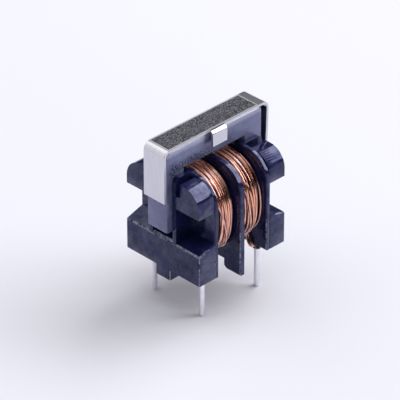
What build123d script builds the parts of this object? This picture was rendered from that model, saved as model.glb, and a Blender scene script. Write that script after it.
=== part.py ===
import os

from build123d import *

os.makedirs("parts", exist_ok=True)

# Upright common mode choke: two U core halves closed into a ring, a two-chamber
# bobbin on its lower leg, a winding in each chamber, a spring clip over the ring
# and four pins. Millimetres. The origin is the middle of the pin pattern on the
# seating plane, +X runs along the winding axis and +Z points up.

# Pins
pin_spacing_x = 8.0
pin_spacing_y = 7.0
pin_diameter = 0.6
pin_root_width = 0.54
pin_reach = 4.0
pin_grip = 2.4
pin_point = 0.12
pin_fit = 0.01

# Terminal blocks at the foot of the end flanges
standoff = 1.4
block_length = 2.8
block_height = 3.55
block_rise = 0.7
block_corner = 0.25
block_edge = 0.15
pin_inset = 0.55
foot_length = 1.5
foot_width = 2.2
foot_corner = 0.25
foot_edge = 0.2

# Flanges and tube
flange_width = 10.8
flange_thickness = 0.55
flange_corner = 3.0
flange_headroom = 0.55
flange_edge = 0.1
middle_flange_thickness = 0.7
middle_foot_width = 2.45
middle_foot_lift = 1.1
middle_foot_chamfer = 0.35
tube_wall = 0.5
core_clearance = 0.05

# Yoke pockets and wire ears on the outer faces of the end flanges
pocket_wall = 0.5
pocket_reach = 2.2
pocket_rise = 0.2
pocket_corner = 0.6
pocket_floor_rise = 0.25
pocket_floor_drop = 0.75
pocket_lead_in = 0.2
ear_height = 3.1
ear_drop = 0.2
ear_inset = 0.15
ear_corner = 2.1
ear_slot_width = 0.55
ear_slot_depth = 1.6

# Ferrite core
core_bar = 2.8
core_yoke = 2.75
core_depth = 2.8
core_window_height = 4.2
core_slack = 0.4
core_lift = 0.95
core_edge = 0.2
core_corner = 0.65

# Spring clip
clip_thickness = 0.3
clip_width = 3.0
clip_leg = 6.15
clip_bend_gap = 0.05
clip_gap = 0.55
clip_lean = 0.2
tab_width = 2.06
tab_height = 1.75
tab_stand = 0.6
tab_bend = 0.15

# Windings
wire_diameter = 0.25
coil_turns = 12
coil_width = 9.7
coil_height = 10.2
coil_flat = 1.1
coil_top_gap = 0.4
coil_edge_drop = 0.2
coil_side_gap = 0.03
turn_slope = 20.0
lead_gap = 0.05
lead_bury = 0.5
lead_spread = 0.7

# Solder joints at the pin roots
solder_diameter = 1.0
solder_rings = 3
solder_ring_height = 0.22
solder_ring_bulge = 0.07

# Places that follow from the sizes above
pin_x = pin_spacing_x / 2
pin_y = pin_spacing_y / 2
flange_inner_x = pin_x - pin_inset
flange_outer_x = flange_inner_x + flange_thickness
block_outer_x = flange_inner_x + block_length
half_flange = flange_width / 2
half_middle = middle_flange_thickness / 2

block_outer_top = standoff + block_height
block_inner_top = block_outer_top + block_rise
pocket_floor = block_outer_top + pocket_floor_rise
pocket_bottom = block_outer_top - pocket_floor_drop
core_bottom = pocket_floor + core_lift
core_axis_z = core_bottom + core_bar / 2
core_height = 2 * core_bar + core_window_height
core_middle_z = core_bottom + core_height / 2
bar_underside = core_bottom + core_bar + core_window_height
core_top = core_bottom + core_height
flange_top = bar_underside - flange_headroom
pocket_top = flange_top + pocket_rise
ear_top = flange_top - ear_drop
ear_bottom = ear_top - ear_height

half_depth = core_depth / 2
pocket_outer_x = flange_outer_x + pocket_reach
bore_width = core_depth + 2 * core_clearance
bore_height = core_bar + 2 * core_clearance
tube_width = bore_width + 2 * tube_wall
tube_height = bore_height + 2 * tube_wall
pocket_outer_y = bore_width / 2 + pocket_wall

half_core = flange_outer_x + core_yoke + core_slack / 2
core_joint_x = core_clearance - core_slack / 2
core_left_x = core_joint_x - half_core
core_right_x = core_joint_x + half_core
half_window = half_core - core_yoke

coil_start_x = half_middle + coil_side_gap
turn_pitch = (flange_inner_x - coil_side_gap - coil_start_x) / coil_turns
coil_corner = (coil_width - coil_flat) / 2
coil_middle_z = flange_top - coil_top_gap - coil_height / 2
lead_x = flange_inner_x - lead_gap - wire_diameter / 2
solder_height = solder_rings * solder_ring_height
solder_bottom = standoff - solder_height
lead_foot_z = standoff - solder_height / 2

LOW_MIDDLE = (Align.CENTER, Align.MIN)
LOW_LEFT = (Align.MIN, Align.MIN)
UPRIGHT = (Align.CENTER, Align.CENTER, Align.MIN)


def arch_face(foot_z):
    """Flange outline on the current sketch: square at foot_z, rounded at the crown."""
    with Locations((0, foot_z)):
        face = Rectangle(flange_width, flange_top - foot_z, align=LOW_MIDDLE)
    fillet(face.vertices().group_by(Axis.Y)[-1], radius=flange_corner)


# End flange of the bobbin: a plate with a bevelled rim
with BuildPart() as end_flange:
    with BuildSketch(Plane.YZ.offset(flange_inner_x)):
        arch_face(standoff)
    extrude(amount=flange_thickness)
    chamfer(end_flange.edges().filter_by(Axis.X, reverse=True), length=flange_edge)

# Middle flange of the bobbin: a plate that stands on two feet
with BuildPart() as middle_flange:
    with BuildSketch(Plane.YZ.offset(-half_middle)) as middle_face:
        arch_face(0)
        Rectangle(
            flange_width - 2 * middle_foot_width,
            middle_foot_lift,
            align=LOW_MIDDLE,
            mode=Mode.SUBTRACT,
        )
        inner_toes = middle_face.vertices().group_by(Axis.Y)[0].sort_by(Axis.X)[1:3]
        chamfer(inner_toes, length=middle_foot_chamfer)
    extrude(amount=middle_flange_thickness)
    chamfer(middle_flange.edges().filter_by(Axis.X, reverse=True), length=flange_edge)

# Bobbin: one moulding. The right half comes first and is mirrored to the left.
with BuildPart() as bobbin:
    # Terminal block, bevelled round its top, which slopes down outwards
    with BuildSketch(Plane.XZ):
        with BuildLine():
            Polyline(
                (flange_outer_x, standoff),
                (block_outer_x, standoff),
                (block_outer_x, block_outer_top),
                (flange_outer_x, block_inner_top),
                close=True,
            )
        make_face()
    extrude(amount=half_flange, both=True)
    fillet(bobbin.edges().filter_by(Axis.Z).group_by(Axis.X)[-1], radius=block_corner)
    block_rim = bobbin.faces().sort_by(Axis.Z)[-1].edges()
    chamfer(block_rim.sort_by(Axis.X)[1:], length=block_edge)
    add(end_flange.part)

    # Foot under the middle of the block
    with BuildSketch(Plane.XY) as foot_plan:
        with Locations((block_outer_x, 0)):
            Rectangle(foot_length, foot_width, align=(Align.MAX, Align.CENTER))
        fillet(foot_plan.vertices(), radius=foot_corner)
    extrude(amount=standoff)
    chamfer(bobbin.faces().sort_by(Axis.Z)[0].edges(), length=foot_edge)

    # Pocket for the yoke: a floor block with a bevelled lip, and a wall on each side
    with BuildSketch(Plane.XZ):
        with BuildLine():
            Polyline(
                (flange_outer_x, pocket_bottom),
                (pocket_outer_x, pocket_bottom),
                (pocket_outer_x, pocket_floor - pocket_lead_in),
                (pocket_outer_x - pocket_lead_in, pocket_floor),
                (flange_outer_x, pocket_floor),
                close=True,
            )
        make_face()
    extrude(amount=pocket_outer_y, both=True)
    with BuildSketch(Plane.YZ.offset(flange_outer_x)):
        with Locations((0, pocket_floor)):
            Rectangle(bore_width, pocket_top - pocket_floor, align=LOW_MIDDLE)
    extrude(amount=pocket_reach, mode=Mode.SUBTRACT)
    with BuildSketch(Plane.XZ.offset(-pocket_outer_y)) as pocket_side:
        with Locations((flange_inner_x, pocket_bottom)):
            Rectangle(flange_thickness + pocket_reach, pocket_top - pocket_bottom, align=LOW_LEFT)
        fillet(pocket_side.vertices().group_by(Axis.Y)[-1].sort_by(Axis.X)[-1], radius=pocket_corner)
    extrude(amount=pocket_wall)

    # Wire ear: a rounded horn joined to the pocket wall below its wire slot
    with BuildSketch(Plane.YZ.offset(flange_outer_x)) as ear_side:
        with Locations((pocket_outer_y, ear_bottom)):
            Rectangle(half_flange - ear_inset - pocket_outer_y, ear_height, align=LOW_LEFT)
        fillet(ear_side.vertices().group_by(Axis.Y)[-1].sort_by(Axis.X)[-1], radius=ear_corner)
        with Locations((pocket_outer_y, ear_top)):
            Rectangle(ear_slot_width, ear_slot_depth, align=(Align.MIN, Align.MAX), mode=Mode.SUBTRACT)
    extrude(amount=pocket_reach)

    mirror(about=Plane.XZ)
    mirror(about=Plane.YZ)

    add(middle_flange.part)

    # Tube through the flanges, and its bore for the lower leg of the core
    with BuildSketch(Plane.YZ):
        with Locations((0, core_axis_z)):
            Rectangle(tube_width, tube_height)
    extrude(amount=flange_outer_x, both=True)
    with BuildSketch(Plane.YZ):
        with Locations((0, core_axis_z)):
            Rectangle(bore_width, bore_height)
    extrude(amount=flange_outer_x, both=True, mode=Mode.SUBTRACT)

    # Blind square holes for the pin roots, in the underside of the blocks
    with BuildSketch(Plane.XY.offset(standoff)):
        with GridLocations(pin_spacing_x, pin_spacing_y, 2, 2):
            Rectangle(pin_root_width + 2 * pin_fit, pin_root_width + 2 * pin_fit)
    extrude(amount=pin_grip, mode=Mode.SUBTRACT)


def core_half(side):
    """One U core half: half of each leg and the yoke, on the given side of the joint."""
    with BuildPart() as half:
        with BuildSketch(Plane.XZ) as face:
            with Locations((core_joint_x + side * half_core / 2, core_middle_z)):
                Rectangle(half_core, core_height)
            corners = face.vertices().sort_by(Axis.X, reverse=side > 0)[:2]
            fillet(corners, radius=core_corner)
            with Locations((core_joint_x + side * half_window / 2, core_middle_z)):
                Rectangle(half_window, core_window_height, mode=Mode.SUBTRACT)
        extrude(amount=half_depth, both=True)
        sides = half.faces().filter_by(Axis.Y).edges()
        joint = sides.sort_by(Axis.X, reverse=side < 0)[:4]
        chamfer(sides - joint, length=core_edge)
    return half


core_left = core_half(-1)
core_right = core_half(1)


# Spring clip: a strip bent over the ring, with a tab bent down at the front
with BuildPart() as clip:
    with BuildSketch(Plane.XZ):
        with BuildLine():
            FilletPolyline(
                (core_left_x, core_top + clip_thickness - clip_leg),
                (core_left_x, core_top),
                (core_right_x + clip_gap, core_top),
                (core_right_x + clip_gap - clip_lean, core_top + clip_thickness - clip_leg),
                radius=core_corner - clip_bend_gap,
            )
            offset(amount=clip_thickness, side=Side.LEFT)
        make_face()
    extrude(amount=clip_width / 2, both=True)

    tab_inner_y = clip_width / 2 + tab_stand - clip_thickness
    with BuildSketch(Plane.YZ):
        with BuildLine():
            FilletPolyline(
                (0, core_top),
                (-tab_inner_y, core_top),
                (-tab_inner_y, core_top + clip_thickness - tab_height),
                radius=tab_bend,
            )
            offset(amount=clip_thickness, side=Side.RIGHT)
        make_face()
    extrude(amount=tab_width / 2, both=True)


def solder_joint(x, y):
    """Wraps of the wire's end round a pin root, run together by solder."""
    waist_r = solder_diameter / 2 - solder_ring_bulge
    profile = [(0, standoff)]
    for ring in range(solder_rings):
        ring_top = standoff - ring * solder_ring_height
        profile.append((waist_r, ring_top))
        profile.append((solder_diameter / 2, ring_top - solder_ring_height / 2))
    profile.append((waist_r, solder_bottom))
    profile.append((0, solder_bottom))
    with BuildPart() as joint:
        with BuildSketch(Plane(origin=(x, y, 0), x_dir=(1, 0, 0), z_dir=(0, -1, 0))):
            with BuildLine():
                Polyline(*profile, close=True)
            make_face()
        revolve(axis=Axis((x, y, 0), (0, 0, 1)))
        with Locations((x, y, solder_bottom)):
            Box(pin_root_width, pin_root_width, solder_height, align=UPRIGHT, mode=Mode.SUBTRACT)
    return joint


# Winding: a ridge for each turn of its outer layer, and both ends led to the pins
with BuildPart() as winding_right:
    for turn in range(coil_turns):
        across = (2 * turn + 1) / coil_turns - 1
        drop = 2 * coil_edge_drop * across**2
        with BuildSketch(Plane.YZ.offset(coil_start_x + turn * turn_pitch)):
            with Locations((0, coil_middle_z)):
                RectangleRounded(coil_width - drop, coil_height - drop, coil_corner)
        extrude(amount=turn_pitch, taper=turn_slope)
    with BuildSketch(Plane.YZ):
        with Locations((0, core_axis_z)):
            Rectangle(tube_width, tube_height)
    extrude(amount=flange_inner_x, mode=Mode.SUBTRACT)

    for side in (-1, 1):
        lead_y = side * (pin_y - lead_spread)
        coil_low_z = coil_middle_z - coil_height / 2 + coil_corner - (
            coil_corner**2 - (abs(lead_y) - coil_width / 2 + coil_corner) ** 2
        ) ** 0.5
        with BuildLine():
            lead = Polyline(
                (lead_x, lead_y, coil_low_z + lead_bury),
                (lead_x, side * pin_y, lead_foot_z),
                (pin_x - pin_root_width / 2, side * pin_y, lead_foot_z),
            )
        with BuildSketch(Plane(origin=lead @ 0, z_dir=lead % 0)):
            Circle(wire_diameter / 2)
        sweep(path=lead, transition=Transition.RIGHT)

        # The lead ends in its solder joint
        add(solder_joint(pin_x, side * pin_y).part, mode=Mode.SUBTRACT)

with BuildPart() as winding_left:
    mirror(winding_right.part, about=Plane.YZ)


def pin(x, y):
    """Round pin with a bevelled tip and a squared root, which the block grips."""
    with BuildPart() as post:
        with Locations((x, y, -pin_reach)):
            Cylinder(pin_diameter / 2, pin_reach + solder_bottom, align=UPRIGHT)
        chamfer(post.edges().sort_by(Axis.Z)[0], length=pin_point)
        with Locations((x, y, solder_bottom)):
            Box(pin_root_width, pin_root_width, solder_height + pin_grip, align=UPRIGHT)
    return post


bobbin.part.label = "bobbin"
core_left.part.label = "core_left"
core_right.part.label = "core_right"
clip.part.label = "clip"
winding_left.part.label = "winding_left"
winding_right.part.label = "winding_right"
pieces = [bobbin, core_left, core_right, clip, winding_left, winding_right]

for x, end in ((-pin_x, "left"), (pin_x, "right")):
    for y, face in ((-pin_y, "front"), (pin_y, "back")):
        post = pin(x, y)
        post.part.label = f"pin_{end}_{face}"
        joint = solder_joint(x, y)
        joint.part.label = f"solder_{end}_{face}"
        pieces += [post, joint]

for piece in pieces:
    export_step(piece.part, f"parts/{piece.part.label}.step")
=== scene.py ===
import math
import random

import bmesh
import bpy
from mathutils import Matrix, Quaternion, Vector


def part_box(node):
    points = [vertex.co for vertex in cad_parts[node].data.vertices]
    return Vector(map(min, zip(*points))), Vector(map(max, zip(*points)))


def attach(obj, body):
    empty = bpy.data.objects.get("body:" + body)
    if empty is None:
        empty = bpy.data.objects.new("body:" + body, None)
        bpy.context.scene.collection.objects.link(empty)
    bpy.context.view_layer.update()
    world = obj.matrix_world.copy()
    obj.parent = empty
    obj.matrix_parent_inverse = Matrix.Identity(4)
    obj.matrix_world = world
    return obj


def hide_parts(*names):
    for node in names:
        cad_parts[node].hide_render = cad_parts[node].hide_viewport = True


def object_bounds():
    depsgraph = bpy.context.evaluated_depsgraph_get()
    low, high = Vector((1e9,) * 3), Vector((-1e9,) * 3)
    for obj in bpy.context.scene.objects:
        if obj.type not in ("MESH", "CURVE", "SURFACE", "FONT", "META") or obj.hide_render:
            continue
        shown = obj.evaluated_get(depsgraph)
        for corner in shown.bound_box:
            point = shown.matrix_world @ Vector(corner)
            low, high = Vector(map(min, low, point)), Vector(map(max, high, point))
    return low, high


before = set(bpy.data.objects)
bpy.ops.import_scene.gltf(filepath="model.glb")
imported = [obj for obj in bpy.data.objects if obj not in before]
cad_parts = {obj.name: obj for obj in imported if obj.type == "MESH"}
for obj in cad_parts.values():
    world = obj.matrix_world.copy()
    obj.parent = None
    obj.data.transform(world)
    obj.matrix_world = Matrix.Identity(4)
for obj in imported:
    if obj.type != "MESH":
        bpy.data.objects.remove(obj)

cad_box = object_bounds()

bl_info = {
    "name": "Common mode choke",
    "version": (1, 0, 0),
    "blender": (4, 5, 0),
    "location": "3D View > Sidebar > Choke",
    "description": "Winds the coils and finishes the surfaces of an upright common mode choke",
    "category": "Object",
}

BODY = "root"
MM = 0.001
MM_PER_M = 1000.0

# The two ends along X and the two faces along Y, each with its sign
SIDES = {"left": -1, "right": 1}
FACES = {"front": -1, "back": 1}


# Settings


class ChokeWireSettings(bpy.types.PropertyGroup):
    """Sizes of the coils and of the way their wire lies."""

    diameter: bpy.props.FloatProperty(
        name="Wire diameter",
        description="Diameter of the enamelled wire",
        default=0.25 * MM,
        unit="LENGTH",
        precision=5,
    )
    height: bpy.props.FloatProperty(
        name="Coil height",
        description="Height of a coil over its outermost turns",
        default=10.2 * MM,
        unit="LENGTH",
    )
    corner: bpy.props.FloatProperty(
        name="Coil corner",
        description="Radius of the coil's rounded corners",
        default=4.3 * MM,
        unit="LENGTH",
    )
    edge_drop: bpy.props.FloatProperty(
        name="Edge drop",
        description="How much lower the wire lies beside the flanges than in the middle of a coil",
        default=0.2 * MM,
        unit="LENGTH",
        precision=5,
    )
    turns: bpy.props.IntProperty(
        name="Tight turns",
        description="Turns of wire side by side in the tight layer",
        default=12,
        min=4,
    )
    loose_turns: bpy.props.IntProperty(
        name="Loose turns",
        description="Turns of wire in the loose outer layer",
        default=10,
        min=4,
    )
    strays: bpy.props.IntProperty(
        name="Strays",
        description="Strands that cross over the outer layer on the front of a coil",
        default=2,
        min=0,
    )
    lead_strands: bpy.props.IntProperty(
        name="Lead strands",
        description="Strands side by side in the wire's run to a pin",
        default=2,
        min=1,
    )
    steps: bpy.props.IntProperty(
        name="Steps a turn",
        description="Points of the wire's curve in one turn",
        default=56,
        min=16,
    )
    wander: bpy.props.FloatProperty(
        name="Wander",
        description="How far a turn strays sideways where it lies loose",
        default=0.28 * MM,
        unit="LENGTH",
        precision=5,
    )
    lift: bpy.props.FloatProperty(
        name="Lift",
        description="How far a turn stands off the turns below where it lies loose",
        default=0.16 * MM,
        unit="LENGTH",
        precision=5,
    )
    sink: bpy.props.FloatProperty(
        name="Sink",
        description="How much deeper every other turn of the loose layer lies",
        default=0.14 * MM,
        unit="LENGTH",
        precision=5,
    )
    seed: bpy.props.IntProperty(
        name="Seed",
        description="Seed of the uneven way the turns lie",
        default=7,
    )


class ChokeFinishSettings(bpy.types.PropertyGroup):
    """Colours of the surfaces and widths of their soft edges."""

    plastic: bpy.props.FloatVectorProperty(
        name="Plastic",
        description="Colour of the bobbin's moulded plastic",
        default=(0.006, 0.007, 0.03),
        subtype="COLOR",
        min=0.0,
        max=1.0,
    )
    ferrite: bpy.props.FloatVectorProperty(
        name="Ferrite",
        description="Colour of the sintered core",
        default=(0.175, 0.185, 0.335),
        subtype="COLOR",
        min=0.0,
        max=1.0,
    )
    steel: bpy.props.FloatVectorProperty(
        name="Spring steel",
        description="Colour of the rolled clip",
        default=(0.68, 0.67, 0.74),
        subtype="COLOR",
        min=0.0,
        max=1.0,
    )
    copper: bpy.props.FloatVectorProperty(
        name="Copper",
        description="Colour of the copper under its enamel",
        default=(0.93, 0.4, 0.18),
        subtype="COLOR",
        min=0.0,
        max=1.0,
    )
    # Painted shade: a darker copy of the copper for the tight and inner layers, standing for the shade
    # between and under the turns
    shaded_copper: bpy.props.FloatVectorProperty(
        name="Shaded copper",
        description="Colour of the copper in the layers below",
        default=(0.06, 0.028, 0.034),
        subtype="COLOR",
        min=0.0,
        max=1.0,
    )
    tin: bpy.props.FloatVectorProperty(
        name="Tin",
        description="Colour of the plated pins",
        default=(0.95, 0.93, 1.0),
        subtype="COLOR",
        min=0.0,
        max=1.0,
    )
    plastic_edge: bpy.props.FloatProperty(
        name="Plastic edge",
        description="Width of the bobbin's soft edges",
        default=0.09 * MM,
        unit="LENGTH",
        precision=5,
    )
    ferrite_edge: bpy.props.FloatProperty(
        name="Ferrite edge",
        description="Width of the core's soft edges",
        default=0.08 * MM,
        unit="LENGTH",
        precision=5,
    )
    steel_edge: bpy.props.FloatProperty(
        name="Steel edge",
        description="Width of the clip's soft edges",
        default=0.04 * MM,
        unit="LENGTH",
        precision=5,
    )


class ChokeStageSettings(bpy.types.PropertyGroup):
    """Floor, light and camera."""

    azimuth: bpy.props.FloatProperty(
        name="Azimuth",
        description="Direction the camera looks in, seen from above, from +X towards +Y",
        default=math.radians(45.37),
        subtype="ANGLE",
    )
    elevation: bpy.props.FloatProperty(
        name="Elevation",
        description="Height of the camera above the horizon",
        default=math.radians(32.40),
        subtype="ANGLE",
    )
    distance: bpy.props.FloatProperty(
        name="Distance",
        description="Distance from the camera to the point it looks at",
        default=418.8 * MM,
        unit="LENGTH",
    )
    target: bpy.props.FloatVectorProperty(
        name="Target",
        description="Point that the camera looks at",
        default=(1.69 * MM, 2.56 * MM, 4.83 * MM),
        subtype="XYZ",
        unit="LENGTH",
    )
    lens: bpy.props.FloatProperty(
        name="Focal length",
        description="Focal length of the camera in millimetres",
        default=362.6,
    )
    floor_size: bpy.props.FloatProperty(
        name="Floor size",
        description="Side of the square floor",
        default=0.9,
        unit="LENGTH",
    )
    floor_colour: bpy.props.FloatVectorProperty(
        name="Floor colour",
        description="Colour of the floor",
        default=(0.7, 0.7, 0.77),
        subtype="COLOR",
        min=0.0,
        max=1.0,
    )
    key_power: bpy.props.FloatProperty(
        name="Key power",
        description="Power of the wide soft lamp at the right",
        default=7.4,
        unit="POWER",
    )
    fill_power: bpy.props.FloatProperty(
        name="Fill power",
        description="Power of the weak soft lamp behind and to the left",
        default=3.4,
        unit="POWER",
    )
    sky_level: bpy.props.FloatProperty(
        name="Sky level",
        description="Brightness of the surroundings straight above",
        default=1.5,
        min=0.0,
    )


# Node helpers


def add_node(tree, kind, **values):
    """Adds a node and sets its sockets or properties by name, with spaces written as underscores."""
    node = tree.nodes.new(kind)
    for key, value in values.items():
        socket = node.inputs.get(key.replace("_", " "))
        if socket is not None:
            socket.default_value = value
        else:
            setattr(node, key, value)
    return node


def join(tree, source, target):
    """Links an output socket to an input socket."""
    tree.links.new(source, target)


def math_node(tree, operation, first, second=None, clamp=False):
    """A Math node whose operands are sockets or numbers; returns its output."""
    node = tree.nodes.new("ShaderNodeMath")
    node.operation = operation
    node.use_clamp = clamp
    for socket, operand in zip(node.inputs, (first, second)):
        if isinstance(operand, bpy.types.NodeSocket):
            join(tree, operand, socket)
        elif operand is not None:
            socket.default_value = operand
    return node.outputs[0]


def mix_colours(tree, factor, first, second):
    """Mixes two colours, each a socket or a colour, by a mask; returns the output."""
    node = tree.nodes.new("ShaderNodeMix")
    node.data_type = "RGBA"
    for socket, operand in ((node.inputs[0], factor), (node.inputs[6], first), (node.inputs[7], second)):
        if isinstance(operand, bpy.types.NodeSocket):
            join(tree, operand, socket)
        else:
            socket.default_value = operand
    return node.outputs[2]


def spread(tree, value, from_low, from_high, to_low, to_high):
    """Maps a value from one range to another; returns the output."""
    node = add_node(tree, "ShaderNodeMapRange")
    join(tree, value, node.inputs["Value"])
    node.inputs["From Min"].default_value = from_low
    node.inputs["From Max"].default_value = from_high
    node.inputs["To Min"].default_value = to_low
    node.inputs["To Max"].default_value = to_high
    return node.outputs["Result"]


def millimetres(tree):
    """Object coordinates in millimetres; returns the output."""
    coordinates = tree.nodes.new("ShaderNodeTexCoord")
    scale = tree.nodes.new("ShaderNodeVectorMath")
    scale.operation = "SCALE"
    scale.inputs["Scale"].default_value = MM_PER_M
    join(tree, coordinates.outputs["Object"], scale.inputs[0])
    return scale.outputs[0]


def vector_node(tree, operation, *operands):
    """A Vector Math node whose operands are sockets; returns its output."""
    node = tree.nodes.new("ShaderNodeVectorMath")
    node.operation = operation
    for socket, operand in zip(node.inputs, operands):
        join(tree, operand, socket)
    return node.outputs[0]


def separate(tree, vector):
    """Splits a vector; returns the outputs X, Y and Z."""
    node = tree.nodes.new("ShaderNodeSeparateXYZ")
    join(tree, vector, node.inputs[0])
    return node.outputs


def direction(azimuth, elevation):
    """Unit vector at this azimuth from +X towards +Y and this elevation above the horizon."""
    flat = math.cos(elevation)
    return Vector((flat * math.cos(azimuth), flat * math.sin(azimuth), math.sin(elevation)))


def opaque(colour):
    """A colour with full alpha."""
    return (*colour, 1.0)


def shade(colour, *factors):
    """An opaque colour scaled by one factor, or by one each for red, green and blue."""
    if len(factors) == 1:
        factors *= len(colour)
    return opaque([part * factor for part, factor in zip(colour, factors)])


def new_group(name, sockets_in, sockets_out):
    """A shader node group with named sockets; returns the group, its input and its output node."""
    group = bpy.data.node_groups.new(name, "ShaderNodeTree")
    for label, kind, default in sockets_in:
        socket = group.interface.new_socket(label, in_out="INPUT", socket_type=kind)
        socket.default_value = default
    for label, kind in sockets_out:
        group.interface.new_socket(label, in_out="OUTPUT", socket_type=kind)
    return group, group.nodes.new("NodeGroupInput"), group.nodes.new("NodeGroupOutput")


def use_group(tree, name, **values):
    """Places a node group in a material and sets its inputs."""
    node = tree.nodes.new("ShaderNodeGroup")
    node.node_tree = bpy.data.node_groups[name]
    for key, value in values.items():
        node.inputs[key.replace("_", " ")].default_value = value
    return node


def new_material(name):
    """A material with a Principled BSDF; returns the material, its tree and the shader."""
    material = bpy.data.materials.new(name)
    material.use_nodes = True
    tree = material.node_tree
    return material, tree, tree.nodes["Principled BSDF"]


def bump(tree, shader, height, depth):
    """Feeds a height to the shader's normal, as a bump of this depth."""
    node = add_node(tree, "ShaderNodeBump", Strength=1.0, Distance=depth)
    join(tree, height, node.inputs["Height"])
    join(tree, node.outputs["Normal"], shader.inputs["Normal"])


# Effects that several finishes share


def build_grain_group():
    """Uneven grain at two scales: a coarse mottle and a fine grain, both from 0 to 1."""
    group, group_in, group_out = new_group(
        "Grain",
        (("Coarse", "NodeSocketFloat", 1.0), ("Fine", "NodeSocketFloat", 12.0)),
        (("Mottle", "NodeSocketFloat"), ("Grain", "NodeSocketFloat")),
    )
    place = millimetres(group)
    for size, result in (("Coarse", "Mottle"), ("Fine", "Grain")):
        noise = add_node(group, "ShaderNodeTexNoise", Detail=4.0, Roughness=0.6)
        join(group, place, noise.inputs["Vector"])
        join(group, group_in.outputs[size], noise.inputs["Scale"])
        level = spread(group, noise.outputs["Fac"], 0.3, 0.7, 0.0, 1.0)
        join(group, level, group_out.inputs[result])


def build_streak_group():
    """Streaks from 0 to 1, as on rolled strip or wound wire; they are finer along an axis stretched more."""
    group, group_in, group_out = new_group(
        "Streaks",
        (("Stretch", "NodeSocketVector", (0.4, 20.0, 20.0)),),
        (("Streaks", "NodeSocketFloat"),),
    )
    place = vector_node(group, "MULTIPLY", millimetres(group), group_in.outputs["Stretch"])
    noise = add_node(group, "ShaderNodeTexNoise", Scale=1.0, Detail=3.0, Roughness=0.6)
    join(group, place, noise.inputs["Vector"])
    join(group, spread(group, noise.outputs["Fac"], 0.3, 0.7, 0.0, 1.0), group_out.inputs["Streaks"])


def build_patch_group():
    """A box-shaped patch with an uneven edge: 1 inside it and 0 outside, in millimetres."""
    group, group_in, group_out = new_group(
        "Patch",
        (
            ("Centre", "NodeSocketVector", (0.0, 0.0, 0.0)),
            ("Half Size", "NodeSocketVector", (1.0, 1.0, 1.0)),
            ("Softness", "NodeSocketFloat", 0.1),
            ("Unevenness", "NodeSocketFloat", 0.1),
        ),
        (("Patch", "NodeSocketFloat"),),
    )
    place = millimetres(group)
    noise = add_node(group, "ShaderNodeTexNoise", Scale=3.0, Detail=4.0, Roughness=0.7)
    join(group, place, noise.inputs["Vector"])
    ragged = math_node(group, "SUBTRACT", noise.outputs["Fac"], 0.5)
    ragged = math_node(group, "MULTIPLY", ragged, group_in.outputs["Unevenness"])
    offset = vector_node(group, "SUBTRACT", place, group_in.outputs["Centre"])
    away = vector_node(group, "ABSOLUTE", offset)
    inside = separate(group, vector_node(group, "SUBTRACT", group_in.outputs["Half Size"], away))
    depth = math_node(group, "MINIMUM", inside["X"], inside["Y"])
    depth = math_node(group, "MINIMUM", depth, inside["Z"])
    depth = math_node(group, "ADD", depth, ragged)
    mask = math_node(group, "DIVIDE", depth, group_in.outputs["Softness"], clamp=True)
    join(group, mask, group_out.inputs["Patch"])


def build_worn_and_highlit_edges_group():
    """Wear and painted highlights on the soft edges of upright boxes, below a height in millimetres: 1 where
    the skin is off or an edge is painted light as a highlight.
    """
    group, group_in, group_out = new_group(
        "Worn And Highlit Edges",
        (("Highest", "NodeSocketFloat", 1.0),),
        (("Wear And Highlight", "NodeSocketFloat"),),
    )
    coordinates = group.nodes.new("ShaderNodeTexCoord")
    facing = separate(group, vector_node(group, "ABSOLUTE", coordinates.outputs["Normal"]))
    square = math_node(group, "MAXIMUM", facing["X"], facing["Y"])
    square = math_node(group, "MAXIMUM", square, facing["Z"])
    edge = spread(group, square, 0.86, 0.92, 1.0, 0.0)
    place = millimetres(group)
    low = math_node(group, "LESS_THAN", separate(group, place)["Z"], group_in.outputs["Highest"])
    noise = add_node(group, "ShaderNodeTexNoise", Scale=1.6, Detail=4.0, Roughness=0.7)
    join(group, place, noise.inputs["Vector"])
    patchy = spread(group, noise.outputs["Fac"], 0.42, 0.58, 0.0, 1.0)
    wear_and_highlight = math_node(group, "MULTIPLY", math_node(group, "MULTIPLY", edge, low), patchy)
    join(group, wear_and_highlight, group_out.inputs["Wear And Highlight"])


# Finishes

# Colours of the varnish's sheen, of wear and painted edge highlights, of a painted highlight on the ferrite,
# of stains, the field on the clip, and of burnt flux darkened as painted shade
BLUE_SHEEN = (0.4, 0.45, 1.0, 1.0)
BLUE_COAT = (0.8, 0.85, 1.0, 1.0)
WORN_AND_HIGHLIT_PLASTIC = (0.3, 0.3, 0.34, 1.0)
PAINTED_HIGHLIGHT_FERRITE = (0.42, 0.44, 0.55, 1.0)
STAINED_FERRITE = (0.02, 0.02, 0.045, 1.0)
DULL_STEEL = (0.12, 0.12, 0.14, 1.0)
FIELD_DARK = (0.008, 0.008, 0.012, 1.0)
FIELD_SPECK = (0.26, 0.26, 0.31, 1.0)
FIELD_LINE = (0.5, 0.49, 0.53, 1.0)
DARK_FLUX_AND_SHADE = (0.03, 0.014, 0.01, 1.0)
PALE_FLUX = (0.09, 0.05, 0.035, 1.0)

# Patches in millimetres, each with its middle and half its size: the scuff on the left block,
# the stain on the core's upper leg and the milky crown of the coils
SCUFF_CENTRE = (-5.2, -5.5, 3.7)
SCUFF_HALF_SIZE = (0.75, 0.4, 0.9)
STAIN_CENTRE = (-3.5, -1.5, 13.4)
STAIN_HALF_SIZE = (3.3, 1.2, 1.15)
CROWN_HALF_SIZE = (9.0, 3.1, 1.4)

# Height in millimetres up to which the blocks' edges are worn and painted with highlights
WEAR_AND_HIGHLIGHT_TOP = 5.3

# Depths in millimetres below the core's top where its painted highlight, a pale band, begins and where it is
# full
HIGHLIGHT_START = 0.85
HIGHLIGHT_FULL = 0.45

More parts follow.
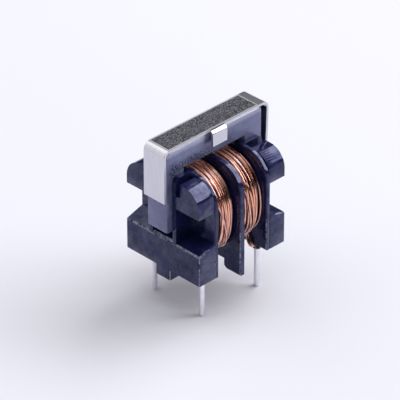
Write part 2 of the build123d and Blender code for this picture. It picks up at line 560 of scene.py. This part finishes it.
# The dark field and the dulled steel round it, in millimetres: their gaps to the clip's ends,
# half their width, how deep they reach, and how far the light line and the dulled steel stand out
FIELD_GAP_LEFT = 0.8
FIELD_GAP_RIGHT = 1.65
DULL_GAP_RIGHT = 0.8
FIELD_HALF_WIDTH = 1.34
FIELD_HALF_DEPTH = 0.08
LINE_WIDTH = 0.11
DULL_BORDER = 0.2

# Half the width in millimetres of the matt band at the clip's cut edges
CUT_HALF_BAND = 0.02


def plastic_finish(colours):
    """Glossy dark moulded plastic, a little wavy, unevenly varnished, with a scuff and pale edges that are
    partly wear and partly painted highlights.
    """
    material, tree, shader = new_material("moulded_plastic")
    grain = use_group(tree, "Grain", Coarse=0.9, Fine=9.0)
    scuff = use_group(
        tree,
        "Patch",
        Centre=SCUFF_CENTRE,
        Half_Size=SCUFF_HALF_SIZE,
        Softness=0.5,
        Unevenness=1.0,
    )
    scratches = use_group(tree, "Streaks", Stretch=(16.0, 16.0, 5.0))
    scratched = spread(tree, scratches.outputs["Streaks"], 0.3, 1.0, 0.08, 0.45)
    # Partly painted highlight: the pale rubbed edges stand both for wear and for highlights along the
    # blocks' rims
    edges = use_group(tree, "Worn And Highlit Edges", Highest=WEAR_AND_HIGHLIGHT_TOP)
    body = mix_colours(tree, grain.outputs["Mottle"], opaque(colours.plastic), shade(colours.plastic, 2.4))
    wear_and_highlight = math_node(tree, "MULTIPLY", scuff.outputs["Patch"], scratched)
    wear_and_highlight = math_node(tree, "MAXIMUM", wear_and_highlight, edges.outputs["Wear And Highlight"])
    join(tree, mix_colours(tree, wear_and_highlight, body, WORN_AND_HIGHLIT_PLASTIC), shader.inputs["Base Color"])
    rough = spread(tree, grain.outputs["Mottle"], 0.0, 1.0, 0.1, 0.2)
    rough = math_node(tree, "ADD", rough, math_node(tree, "MULTIPLY", wear_and_highlight, 0.3))
    join(tree, rough, shader.inputs["Roughness"])
    shader.inputs["IOR"].default_value = 1.41
    shader.inputs["Specular Tint"].default_value = BLUE_SHEEN
    varnish = use_group(tree, "Grain", Coarse=0.3, Fine=1.2)
    thick = math_node(tree, "ADD", varnish.outputs["Mottle"], varnish.outputs["Grain"])
    join(tree, spread(tree, thick, 0.4, 1.6, 0.0, 1.0), shader.inputs["Coat Weight"])
    shader.inputs["Coat IOR"].default_value = 1.4
    shader.inputs["Coat Roughness"].default_value = 0.08
    shader.inputs["Coat Tint"].default_value = BLUE_COAT
    height = math_node(tree, "MULTIPLY", grain.outputs["Mottle"], 4.0)
    bump(tree, shader, math_node(tree, "ADD", height, grain.outputs["Grain"]), 0.002 * MM)
    return material


def ferrite_finish(colours):
    """Sintered ferrite under a thin varnish: dark, slightly metallic, specked and stained, with a pale band
    near the top as a painted highlight.
    """
    material, tree, shader = new_material("varnished_ferrite")
    grain = use_group(tree, "Grain", Coarse=0.8, Fine=5.0)
    specks = add_node(tree, "ShaderNodeTexVoronoi", Scale=4.0, Randomness=1.0)
    join(tree, millimetres(tree), specks.inputs["Vector"])
    speck = spread(tree, specks.outputs["Distance"], 0.12, 0.2, 1.0, 0.0)
    body = mix_colours(tree, grain.outputs["Mottle"], opaque(colours.ferrite), shade(colours.ferrite, 0.72))
    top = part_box("core_left")[1].z * MM_PER_M
    height = separate(tree, millimetres(tree))["Z"]
    # Painted highlight: a pale band just below the core's top, lighter towards the top edge
    rim = spread(tree, height, top - HIGHLIGHT_START, top - HIGHLIGHT_FULL, 0.0, 0.6)
    body = mix_colours(tree, rim, body, PAINTED_HIGHLIGHT_FERRITE)
    stain = use_group(
        tree,
        "Patch",
        Centre=STAIN_CENTRE,
        Half_Size=STAIN_HALF_SIZE,
        Softness=0.5,
        Unevenness=1.3,
    )
    blot = spread(tree, grain.outputs["Grain"], 0.4, 0.65, 0.0, 0.9)
    blot = math_node(tree, "MULTIPLY", stain.outputs["Patch"], blot)
    speck = math_node(tree, "MAXIMUM", math_node(tree, "MULTIPLY", speck, 0.5), blot)
    join(tree, mix_colours(tree, speck, body, STAINED_FERRITE), shader.inputs["Base Color"])
    shader.inputs["Metallic"].default_value = 0.3
    join(tree, spread(tree, grain.outputs["Grain"], 0.0, 1.0, 0.16, 0.26), shader.inputs["Roughness"])
    bump(tree, shader, grain.outputs["Grain"], 0.003 * MM)
    return material


def steel_finish(colours):
    """Bright rolled steel with matt cut edges, and on top a dark grainy field in a light border."""
    material, tree, shader = new_material("spring_steel")
    low, high = (Vector(corner) * MM_PER_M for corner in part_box("clip"))
    streaks = use_group(tree, "Streaks", Stretch=(0.5, 9.0, 0.5))
    grain = use_group(tree, "Grain", Coarse=1.2, Fine=7.0)
    left = low.x + FIELD_GAP_LEFT
    masks = []
    for gap_right, border in (
        (FIELD_GAP_RIGHT, 0.0),
        (FIELD_GAP_RIGHT, LINE_WIDTH),
        (DULL_GAP_RIGHT, DULL_BORDER),
    ):
        right = high.x - gap_right
        mask = use_group(
            tree,
            "Patch",
            Centre=((left + right) / 2, 0.0, high.z),
            Half_Size=((right - left) / 2 + border, FIELD_HALF_WIDTH + border, FIELD_HALF_DEPTH),
            Softness=0.04,
            Unevenness=0.05,
        )
        masks.append(mask.outputs["Patch"])
    field, bordered, dulled = masks
    line = math_node(tree, "SUBTRACT", bordered, field, clamp=True)
    metal = mix_colours(tree, streaks.outputs["Streaks"], shade(colours.steel, 0.86), opaque(colours.steel))
    speck = spread(tree, grain.outputs["Grain"], 0.35, 0.9, 0.0, 1.0)
    dark = mix_colours(tree, speck, FIELD_DARK, FIELD_SPECK)
    dullness = spread(tree, grain.outputs["Grain"], 0.0, 1.0, 0.6, 0.75)
    dullness = math_node(tree, "MULTIPLY", dulled, dullness)
    metal = mix_colours(tree, dullness, metal, DULL_STEEL)
    colour = mix_colours(tree, field, metal, dark)
    join(tree, mix_colours(tree, line, colour, FIELD_LINE), shader.inputs["Base Color"])
    across = math_node(tree, "ABSOLUTE", separate(tree, millimetres(tree))["Y"])
    from_cut = math_node(tree, "ABSOLUTE", math_node(tree, "SUBTRACT", across, high.y))
    cut = math_node(tree, "LESS_THAN", from_cut, CUT_HALF_BAND)
    bare = spread(tree, field, 0.0, 1.0, 1.0, 0.3)
    bare = math_node(tree, "SUBTRACT", bare, math_node(tree, "MULTIPLY", cut, 0.7), clamp=True)
    bare = math_node(tree, "SUBTRACT", bare, math_node(tree, "MULTIPLY", line, 0.6), clamp=True)
    join(tree, bare, shader.inputs["Metallic"])
    rough = spread(tree, streaks.outputs["Streaks"], 0.0, 1.0, 0.14, 0.22)
    rough = math_node(tree, "ADD", rough, math_node(tree, "MULTIPLY", dulled, 0.25))
    join(tree, rough, shader.inputs["Roughness"])
    height = math_node(tree, "MULTIPLY", grain.outputs["Grain"], field)
    height = math_node(tree, "ADD", height, math_node(tree, "MULTIPLY", streaks.outputs["Streaks"], 0.2))
    bump(tree, shader, height, 0.008 * MM)
    return material


def copper_finish(name, colour):
    """Copper wire of this colour under clear enamel: strands of uneven tone, some milky on the crown."""
    material, tree, shader = new_material(name)
    grain = use_group(tree, "Grain", Coarse=1.1, Fine=6.0)
    pale_strands = use_group(tree, "Streaks", Stretch=(3.1, 0.3, 0.3)).outputs["Streaks"]
    dull_strands = use_group(tree, "Streaks", Stretch=(4.3, 0.45, 0.45)).outputs["Streaks"]
    toned = mix_colours(tree, pale_strands, opaque(colour), shade(colour, 1.0, 1.3, 2.5))
    dullness = spread(tree, dull_strands, 0.3, 0.9, 0.0, 1.0)
    toned = mix_colours(tree, dullness, toned, shade(colour, 0.3, 0.25, 0.55))
    join(tree, toned, shader.inputs["Base Color"])
    crown = use_group(
        tree,
        "Patch",
        Centre=(0.0, 0.0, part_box("winding_left")[1].z * MM_PER_M),
        Half_Size=CROWN_HALF_SIZE,
        Softness=0.6,
        Unevenness=1.2,
    )
    milky = spread(tree, pale_strands, 0.35, 0.6, 0.0, 1.0)
    milky = math_node(tree, "MULTIPLY", crown.outputs["Patch"], milky)
    join(tree, spread(tree, milky, 0.0, 1.0, 1.0, 0.1), shader.inputs["Metallic"])
    join(tree, spread(tree, grain.outputs["Grain"], 0.0, 1.0, 0.1, 0.18), shader.inputs["Roughness"])
    shader.inputs["Coat Weight"].default_value = 1.0
    shader.inputs["Coat Roughness"].default_value = 0.04
    shader.inputs["Coat IOR"].default_value = 1.8
    bump(tree, shader, grain.outputs["Grain"], 0.002 * MM)
    return material


def tin_finish(colours):
    """Tin plate on the pins, finely grained and a little mottled."""
    material, tree, shader = new_material("tin_plate")
    grain = use_group(tree, "Grain", Coarse=1.6, Fine=10.0)
    plate = mix_colours(tree, grain.outputs["Mottle"], opaque(colours.tin), shade(colours.tin, 0.85))
    join(tree, plate, shader.inputs["Base Color"])
    shader.inputs["Metallic"].default_value = 1.0
    join(tree, spread(tree, grain.outputs["Grain"], 0.0, 1.0, 0.16, 0.26), shader.inputs["Roughness"])
    bump(tree, shader, grain.outputs["Grain"], 0.006 * MM)
    return material


def solder_finish(colours):
    """Solder under a brown skin of burnt flux, darkened further as painted shade under the blocks, bare in
    places.
    """
    material, tree, shader = new_material("solder")
    grain = use_group(tree, "Grain", Coarse=2.4, Fine=9.0)
    bare = spread(tree, grain.outputs["Mottle"], 0.55, 0.8, 0.0, 1.0)
    # Partly painted shade: the near-black flux also stands for the shade under the blocks
    skin = mix_colours(tree, grain.outputs["Grain"], DARK_FLUX_AND_SHADE, PALE_FLUX)
    join(tree, mix_colours(tree, bare, skin, shade(colours.tin, 0.7)), shader.inputs["Base Color"])
    join(tree, bare, shader.inputs["Metallic"])
    join(tree, spread(tree, grain.outputs["Grain"], 0.0, 1.0, 0.2, 0.4), shader.inputs["Roughness"])
    bump(tree, shader, grain.outputs["Mottle"], 0.02 * MM)
    return material


# Mesh helpers

# Points nearer than this are one, faces that turn by less are flat, and edges that turn by more are sharp
WELD = 0.0005 * MM
FLAT_ANGLE = math.radians(0.02)
SHARP_ANGLE = math.radians(32.0)


def add_piece(name, data, slot, material, *replaced):
    """Adds an object of this data to the choke, with its finish."""
    piece = bpy.data.objects.new(name, data)
    bpy.context.scene.collection.objects.link(piece)
    data.materials.clear()
    data.materials.append(material)
    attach(piece, BODY)
    if replaced:
        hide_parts(*replaced)
    return piece


def welded_copy(node, name):
    """A copy of a CAD node's mesh with its triangles welded and its flat faces joined."""
    mesh = bpy.data.meshes.new(name)
    bm = bmesh.new()
    bm.from_mesh(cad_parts[node].data)
    bmesh.ops.remove_doubles(bm, verts=bm.verts, dist=WELD)
    bmesh.ops.dissolve_limit(bm, angle_limit=FLAT_ANGLE, verts=bm.verts, edges=bm.edges)
    bm.to_mesh(mesh)
    bm.free()
    mesh.shade_smooth()
    mesh.set_sharp_from_angle(angle=SHARP_ANGLE)
    return mesh


def dress_node(node, name, slot, material, edge, segments=3):
    """Replaces a CAD node by a copy with this finish and with soft edges of this width."""
    piece = add_piece(name, welded_copy(node, name), slot, material, node)
    bevel = piece.modifiers.new("Soft edges", "BEVEL")
    bevel.width = edge
    bevel.segments = segments
    bevel.limit_method = "ANGLE"
    bevel.angle_limit = SHARP_ANGLE
    bevel.harden_normals = True


def finish_node(node, material):
    """Gives a CAD node that stays as it is its finish."""
    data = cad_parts[node].data
    data.materials.clear()
    data.materials.append(material)


# Wire

# Gap along X between the axis of a pin and the outer end of its coil
COIL_TO_PIN = 0.58 * MM

# How straight a coil's outline is between its corners
OUTLINE_FLAT = 3.0

# Angle at which the wire lies loosest: low on the front
LOOSEST_ANGLE = math.radians(205.0)

# Waves in one turn: sideways, outwards, and the sink that takes about every other turn deeper
SIDEWAYS_RATES = (0.37, 0.71, 1.13, 1.61)
OUTWARDS_RATES = (0.53, 0.97, 1.39)
SINK_RATE = 0.47

# Share of the sideways waves where the wire lies tight, and least share of the lift where it is loose
LEAST_WANDER = 0.2
LEAST_LIFT = 0.3

# How deep the tight layer and the inner layers lie, in wires, and how loose the tight layer is
TIGHT_DEPTH = 1.1
TIGHT_SLACK = 0.1
HEART_DEPTH = 1.7

# Gap between the core's lower leg and the inner layers, just over the tube's wall
LEG_TO_HEART = 0.6 * MM

# A stray strand: the angles in degrees where it starts and ends, the shares of the coil's length
# between which it runs, and the height of its bow and the depth of its ends in wires
STRAY_START = (120.0, 150.0)
STRAY_END = (235.0, 262.0)
STRAY_SPAN = (0.05, 0.95)
STRAY_BOW = 1.4
STRAY_DIVE = 0.4

# A lead's way down to its joint in millimetres: outwards from the end of the coil, towards the face
# from the pin and up from the top of the joint. Its tip goes into the joint beside the pin.
LEAD_ROUTE = (
    (-0.2, -1.1, 2.2),
    (0.0, -0.75, 1.6),
    (0.0, -0.55, 0.8),
    (0.0, -0.25, 0.25),
    (0.1, 0.0, -0.23),
)
LEAD_TIP = 0.35 * MM

# Gap between the end of the coil and its first lead, in wires
FIRST_LEAD = 0.7


class Coil:
    """Where one coil lies: its side, its span between the flanges and the outline of its turns."""

    def __init__(self, side, wire):
        low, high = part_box(f"winding_{side}")
        pin_low, pin_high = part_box(f"pin_{side}_front")
        self.side = side
        self.sign = SIDES[side]
        self.inner = min(abs(low.x), abs(high.x))
        self.outer = abs(pin_low.x + pin_high.x) / 2 - COIL_TO_PIN
        self.half_width = high.y
        self.half_height = wire.height / 2
        self.middle_z = high.z - self.half_height
        self.corner = wire.corner
        self.edge_drop = wire.edge_drop

    def along(self, share, margin):
        """Distance from the middle plane at this share of the span, less a margin at both ends."""
        return self.inner + margin + (self.outer - self.inner - 2 * margin) * share

    def place(self, angle, along, depth):
        """Point on a turn: at this angle, this far along, and this deep under the outline."""
        share = 2 * (along - self.inner) / (self.outer - self.inner) - 1
        depth = depth + self.edge_drop * share * share
        corner = self.corner - depth
        across = (self.half_width - self.corner) * math.tanh(OUTLINE_FLAT * math.cos(angle))
        up = (self.half_height - self.corner) * math.tanh(OUTLINE_FLAT * math.sin(angle))
        return Vector(
            (
                self.sign * along,
                across + corner * math.cos(angle),
                self.middle_z + up + corner * math.sin(angle),
            )
        )


class Wander:
    """A smooth uneven offset along a winding: a few sines with random rates and phases."""

    def __init__(self, source, rates):
        self.waves = [(rate * source.uniform(0.85, 1.15), source.uniform(0.0, math.tau)) for rate in rates]

    def at(self, angle):
        """The offset at this angle, from -1 to 1."""
        return sum(math.sin(rate * angle + phase) for rate, phase in self.waves) / len(self.waves)


def looseness(angle):
    """How loose the wire lies at this angle: 1 low on the front of the coil and 0 at the back."""
    return max(0.0, math.cos(angle - LOOSEST_ANGLE)) ** 2


def wire_curve(name, paths, diameter, smooth=False):
    """Round wires that follow these paths; smooth ones run in a bow past their inner points."""
    curve = bpy.data.curves.new(name, "CURVE")
    curve.dimensions = "3D"
    curve.bevel_depth = diameter / 2
    curve.bevel_resolution = 2
    curve.resolution_u = 8
    curve.use_fill_caps = True
    for path in paths:
        spline = curve.splines.new("NURBS" if smooth else "POLY")
        spline.points.add(len(path) - 1)
        for point, place in zip(spline.points, path):
            point.co = (*place, 1.0)
        spline.use_endpoint_u = smooth
        spline.use_smooth = True
    return curve


# Operators


class CHOKE_OT_build_effects(bpy.types.Operator):
    """Build the node groups that the finishes share"""

    bl_idname = "choke.build_effects"
    bl_label = "Build shared effects"

    def execute(self, context):
        build_grain_group()
        build_streak_group()
        build_patch_group()
        build_worn_and_highlit_edges_group()
        return {"FINISHED"}


class CHOKE_OT_finish_bobbin(bpy.types.Operator):
    """Round the bobbin's edges and give it its plastic finish"""

    bl_idname = "choke.finish_bobbin"
    bl_label = "Finish the bobbin"

    def execute(self, context):
        finish = context.scene.choke_finish
        dress_node("bobbin", "bobbin_moulding", "bobbin", plastic_finish(finish), finish.plastic_edge)
        return {"FINISHED"}


class CHOKE_OT_finish_core(bpy.types.Operator):
    """Round the edges of the core halves and give them their ferrite finish"""

    bl_idname = "choke.finish_core"
    bl_label = "Finish the core"

    def execute(self, context):
        finish = context.scene.choke_finish
        material = ferrite_finish(finish)
        for side in SIDES:
            dress_node(f"core_{side}", f"ferrite_{side}", "ferrite", material, finish.ferrite_edge)
        return {"FINISHED"}


class CHOKE_OT_finish_clip(bpy.types.Operator):
    """Round the clip's sheared edges and give it its steel finish"""

    bl_idname = "choke.finish_clip"
    bl_label = "Finish the clip"

    def execute(self, context):
        finish = context.scene.choke_finish
        material = steel_finish(finish)
        dress_node("clip", "spring_clip", "clip_steel", material, finish.steel_edge, segments=2)
        return {"FINISHED"}


class CHOKE_OT_wind_coils(bpy.types.Operator):
    """Wind the wire of both coils and lead its ends to the pins"""

    bl_idname = "choke.wind_coils"
    bl_label = "Wind the coils"

    def execute(self, context):
        wire = context.scene.choke_wire
        colours = context.scene.choke_finish
        source = random.Random(wire.seed)
        copper = copper_finish("enamelled_copper", colours.copper)
        # Painted shade: the layers below get a darkened copy of the copper finish
        shaded_copper = copper_finish("enamelled_copper_shaded", colours.shaded_copper)
        for side in SIDES:
            coil = Coil(side, wire)
            loose = [self.turns_path(coil, wire, source, wire.loose_turns, 0.0, 1.0)]
            loose += [self.stray_path(coil, wire, source) for stray in range(wire.strays)]
            name = f"loose_turns_{side}"
            add_piece(name, wire_curve(name, loose, wire.diameter), "winding", copper, f"winding_{side}")
            tight_depth = TIGHT_DEPTH * wire.diameter
            tight = self.turns_path(coil, wire, source, wire.turns, tight_depth, TIGHT_SLACK)
            name = f"tight_turns_{side}"
            add_piece(name, wire_curve(name, [tight], wire.diameter), "winding", shaded_copper)
            self.add_heart(coil, wire, shaded_copper)
            self.add_leads(coil, wire, copper)
        return {"FINISHED"}

    def turns_path(self, coil, wire, source, turns, depth, slack):
        """Path of one layer; slack scales how unevenly the turns lie."""
        sideways = Wander(source, SIDEWAYS_RATES)
        outwards = Wander(source, OUTWARDS_RATES)
        margin = wire.diameter / 2
        lowest, highest = coil.along(0.0, margin), coil.along(1.0, margin)
        count = turns * wire.steps
        path = []
        for step in range(count + 1):
            angle = math.tau * step / wire.steps - math.pi / 2
            loose = looseness(angle)
            along = coil.along(step / count, margin)
            along += wire.wander * slack * (LEAST_WANDER + loose) * sideways.at(angle)
            along = min(max(along, lowest), highest)
            lift = wire.lift * slack * loose * (LEAST_LIFT + max(0.0, outwards.at(angle)))
            lift -= wire.sink * slack * (1 + math.cos(SINK_RATE * angle)) / 2
            path.append(coil.place(angle, along, depth + wire.diameter / 2 - lift))
        return path

    def stray_path(self, coil, wire, source):
        """Path of a strand that crosses over the turns on the front and dives under at both ends."""
        first = math.radians(source.uniform(*STRAY_START))
        last = math.radians(source.uniform(*STRAY_END))
        start, end = source.uniform(*STRAY_SPAN), source.uniform(*STRAY_SPAN)
        steps = wire.steps // 2
        path = []
        for step in range(steps + 1):
            share = step / steps
            ease = share * share * (3 - 2 * share)
            lift = (STRAY_BOW * math.sin(math.pi * share) ** 0.5 - STRAY_DIVE) * wire.diameter
            along = coil.along(start + (end - start) * ease, wire.diameter)
            path.append(coil.place(first + (last - first) * share, along, wire.diameter / 2 - lift))
        return path

    def add_heart(self, coil, wire, material):
        """The layers below the tight turns: a ring is spun, then fitted to the coil and the square tube."""
        core_low, core_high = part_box("core_left")
        leg_half = (core_high.y - core_low.y) / 2
        leg_middle = core_low.z + leg_half
        depth = HEART_DEPTH * wire.diameter
        hole, rim = 1.0, 2.0
        section = ((coil.inner, hole), (coil.outer, hole), (coil.outer, rim), (coil.inner, rim))
        bm = bmesh.new()
        corners = [bm.verts.new((coil.sign * along, radius, 0.0)) for along, radius in section]
        edges = [bm.edges.new((corners[number - 1], corner)) for number, corner in enumerate(corners)]
        bmesh.ops.spin(
            bm,
            geom=corners + edges,
            cent=(0, 0, 0),
            axis=(1, 0, 0),
            angle=math.tau,
            steps=wire.steps,
            use_merge=True,
        )
        for vert in bm.verts:
            angle = math.atan2(vert.co.z, vert.co.y)
            if vert.co.yz.length > (hole + rim) / 2:
                vert.co = coil.place(angle, abs(vert.co.x), depth)
            else:
                reach = (leg_half + LEG_TO_HEART) / max(abs(math.cos(angle)), abs(math.sin(angle)))
                vert.co.y = reach * math.cos(angle)
                vert.co.z = leg_middle + reach * math.sin(angle)
        bmesh.ops.recalc_face_normals(bm, faces=bm.faces)
        name = f"inner_layers_{coil.side}"
        mesh = bpy.data.meshes.new(name)
        bm.to_mesh(mesh)
        bm.free()
        add_piece(name, mesh, "winding", material)

    def add_leads(self, coil, wire, material):
        """The strands that run from under the coil to both pins."""
        paths = []
        for face, front in FACES.items():
            low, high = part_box(f"solder_{coil.side}_{face}")
            root = (low + high) / 2
            for strand in range(wire.lead_strands):
                beside = coil.outer - (FIRST_LEAD + strand) * wire.diameter
                path = [
                    (coil.sign * (beside + out * MM), root.y + front * across * MM, high.z + up * MM)
                    for out, across, up in LEAD_ROUTE
                ]
                path.append((root.x - coil.sign * LEAD_TIP, root.y, root.z))
                paths.append(path)
        name = f"leads_{coil.side}"
        add_piece(name, wire_curve(name, paths, wire.diameter, smooth=True), "winding", material)


class CHOKE_OT_finish_pins(bpy.types.Operator):
    """Give the pins their tin and the joints their solder"""

    bl_idname = "choke.finish_pins"
    bl_label = "Finish the pins"

    def execute(self, context):
        colours = context.scene.choke_finish
        tin = tin_finish(colours)
        solder = solder_finish(colours)
        for side in SIDES:
            for face in FACES:
                finish_node(f"pin_{side}_{face}", tin)
                finish_node(f"solder_{side}_{face}", solder)
        return {"FINISHED"}


# Stage

LAMP_DISTANCE = 0.8

# Azimuth and elevation of each lamp in degrees, the sides of its face in metres and its roll in degrees
KEY_DIRECTION = (-23.0, 39.0)
KEY_SIZE = (1.1, 0.39)
KEY_ROLL = 33.0
FILL_DIRECTION = (112.0, 30.0)
FILL_SIZE = (1.3, 0.95)
FILL_ROLL = 0.0

# Share of the sky's level at heights from 0 at the horizon to 1 straight above
SKY_STOPS = ((0.0, 0.04), (0.5, 0.04), (0.8, 0.35), (0.9, 1.0))


class CHOKE_OT_set_stage(bpy.types.Operator):
    """Set the floor, the light and the camera"""

    bl_idname = "choke.set_stage"
    bl_label = "Set the stage"

    def execute(self, context):
        stage = context.scene.choke_stage
        self.add_floor(stage)
        self.add_world(context.scene, stage)
        self.add_lamp("key_lamp", stage.key_power, KEY_DIRECTION, KEY_SIZE, KEY_ROLL)
        self.add_lamp("fill_lamp", stage.fill_power, FILL_DIRECTION, FILL_SIZE, FILL_ROLL)
        self.add_camera(context.scene, stage)
        context.scene.view_settings.view_transform = "Standard"
        return {"FINISHED"}

    def add_floor(self, stage):
        """A plain pale floor at the pin tips."""
        mesh = bpy.data.meshes.new("floor")
        bm = bmesh.new()
        bmesh.ops.create_grid(bm, x_segments=1, y_segments=1, size=stage.floor_size / 2)
        for vert in bm.verts:
            vert.co.z = cad_box[0].z
        bm.to_mesh(mesh)
        bm.free()
        floor = bpy.data.objects.new("floor", mesh)
        bpy.context.scene.collection.objects.link(floor)
        material, tree, shader = new_material("floor")
        shader.inputs["Base Color"].default_value = opaque(stage.floor_colour)
        shader.inputs["Roughness"].default_value = 0.9
        shader.inputs["Specular IOR Level"].default_value = 0.1
        mesh.materials.append(material)

    def add_world(self, scene, stage):
        """Soft studio surroundings: bright overhead and dark towards the horizon."""
        world = bpy.data.worlds.new("studio")
        scene.world = world
        world.use_nodes = True
        tree = world.node_tree
        background = tree.nodes["Background"]
        coordinates = tree.nodes.new("ShaderNodeTexCoord")
        ramp = tree.nodes.new("ShaderNodeValToRGB")
        join(tree, separate(tree, coordinates.outputs["Generated"])["Z"], ramp.inputs["Fac"])
        elements = ramp.color_ramp.elements
        while len(elements) < len(SKY_STOPS):
            elements.new(0.5)
        for element, (place, level) in zip(elements, SKY_STOPS):
            element.position = place
            element.color = opaque([level * stage.sky_level] * 3)
        join(tree, ramp.outputs["Color"], background.inputs["Color"])

    def add_lamp(self, name, power, angles, size, roll):
        """A soft lamp that faces the choke from this azimuth and elevation, rolled about its own axis."""
        lamp = bpy.data.lights.new(name, "AREA")
        lamp.shape = "RECTANGLE"
        lamp.size, lamp.size_y = size
        lamp.energy = power
        lamp_object = bpy.data.objects.new(name, lamp)
        bpy.context.scene.collection.objects.link(lamp_object)
        towards = direction(*(math.radians(angle) for angle in angles))
        lamp_object.location = towards * LAMP_DISTANCE
        lamp_object.rotation_mode = "QUATERNION"
        turn = Quaternion((0.0, 0.0, 1.0), math.radians(roll))
        lamp_object.rotation_quaternion = (-towards).to_track_quat("-Z", "Y") @ turn

    def add_camera(self, scene, stage):
        """The camera at the photograph's angle."""
        camera = bpy.data.objects.new("camera", bpy.data.cameras.new("camera"))
        scene.collection.objects.link(camera)
        forward = direction(stage.azimuth, -stage.elevation)
        camera.location = Vector(stage.target) - forward * stage.distance
        camera.rotation_mode = "QUATERNION"
        camera.rotation_quaternion = forward.to_track_quat("-Z", "Y")
        camera.data.lens = stage.lens
        scene.camera = camera


# Panel and registration


class CHOKE_PT_panel(bpy.types.Panel):
    """The steps that finish the choke"""

    bl_idname = "CHOKE_PT_panel"
    bl_label = "Common mode choke"
    bl_space_type = "VIEW_3D"
    bl_region_type = "UI"
    bl_category = "Choke"

    def draw(self, context):
        scene = context.scene
        for settings in (scene.choke_wire, scene.choke_finish, scene.choke_stage):
            box = self.layout.box()
            for name in settings.__annotations__:
                box.prop(settings, name)
        for operator in OPERATORS:
            self.layout.operator(operator.bl_idname)


SETTINGS = (ChokeWireSettings, ChokeFinishSettings, ChokeStageSettings)
OPERATORS = (
    CHOKE_OT_build_effects,
    CHOKE_OT_finish_bobbin,
    CHOKE_OT_finish_core,
    CHOKE_OT_finish_clip,
    CHOKE_OT_wind_coils,
    CHOKE_OT_finish_pins,
    CHOKE_OT_set_stage,
)
CLASSES = (*SETTINGS, *OPERATORS, CHOKE_PT_panel)


def register():
    """Registers the classes and the scene's settings."""
    for cls in CLASSES:
        bpy.utils.register_class(cls)
    bpy.types.Scene.choke_wire = bpy.props.PointerProperty(type=ChokeWireSettings)
    bpy.types.Scene.choke_finish = bpy.props.PointerProperty(type=ChokeFinishSettings)
    bpy.types.Scene.choke_stage = bpy.props.PointerProperty(type=ChokeStageSettings)


def unregister():
    """Removes the settings and the classes."""
    del bpy.types.Scene.choke_stage
    del bpy.types.Scene.choke_finish
    del bpy.types.Scene.choke_wire
    for cls in reversed(CLASSES):
        bpy.utils.unregister_class(cls)


def main():
    """Registers the add-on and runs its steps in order."""
    register()
    bpy.ops.choke.build_effects()
    bpy.ops.choke.finish_bobbin()
    bpy.ops.choke.finish_core()
    bpy.ops.choke.finish_clip()
    bpy.ops.choke.wind_coils()
    bpy.ops.choke.finish_pins()
    bpy.ops.choke.set_stage()
    bpy.context.view_layer.update()


if __name__ == "__main__":
    main()
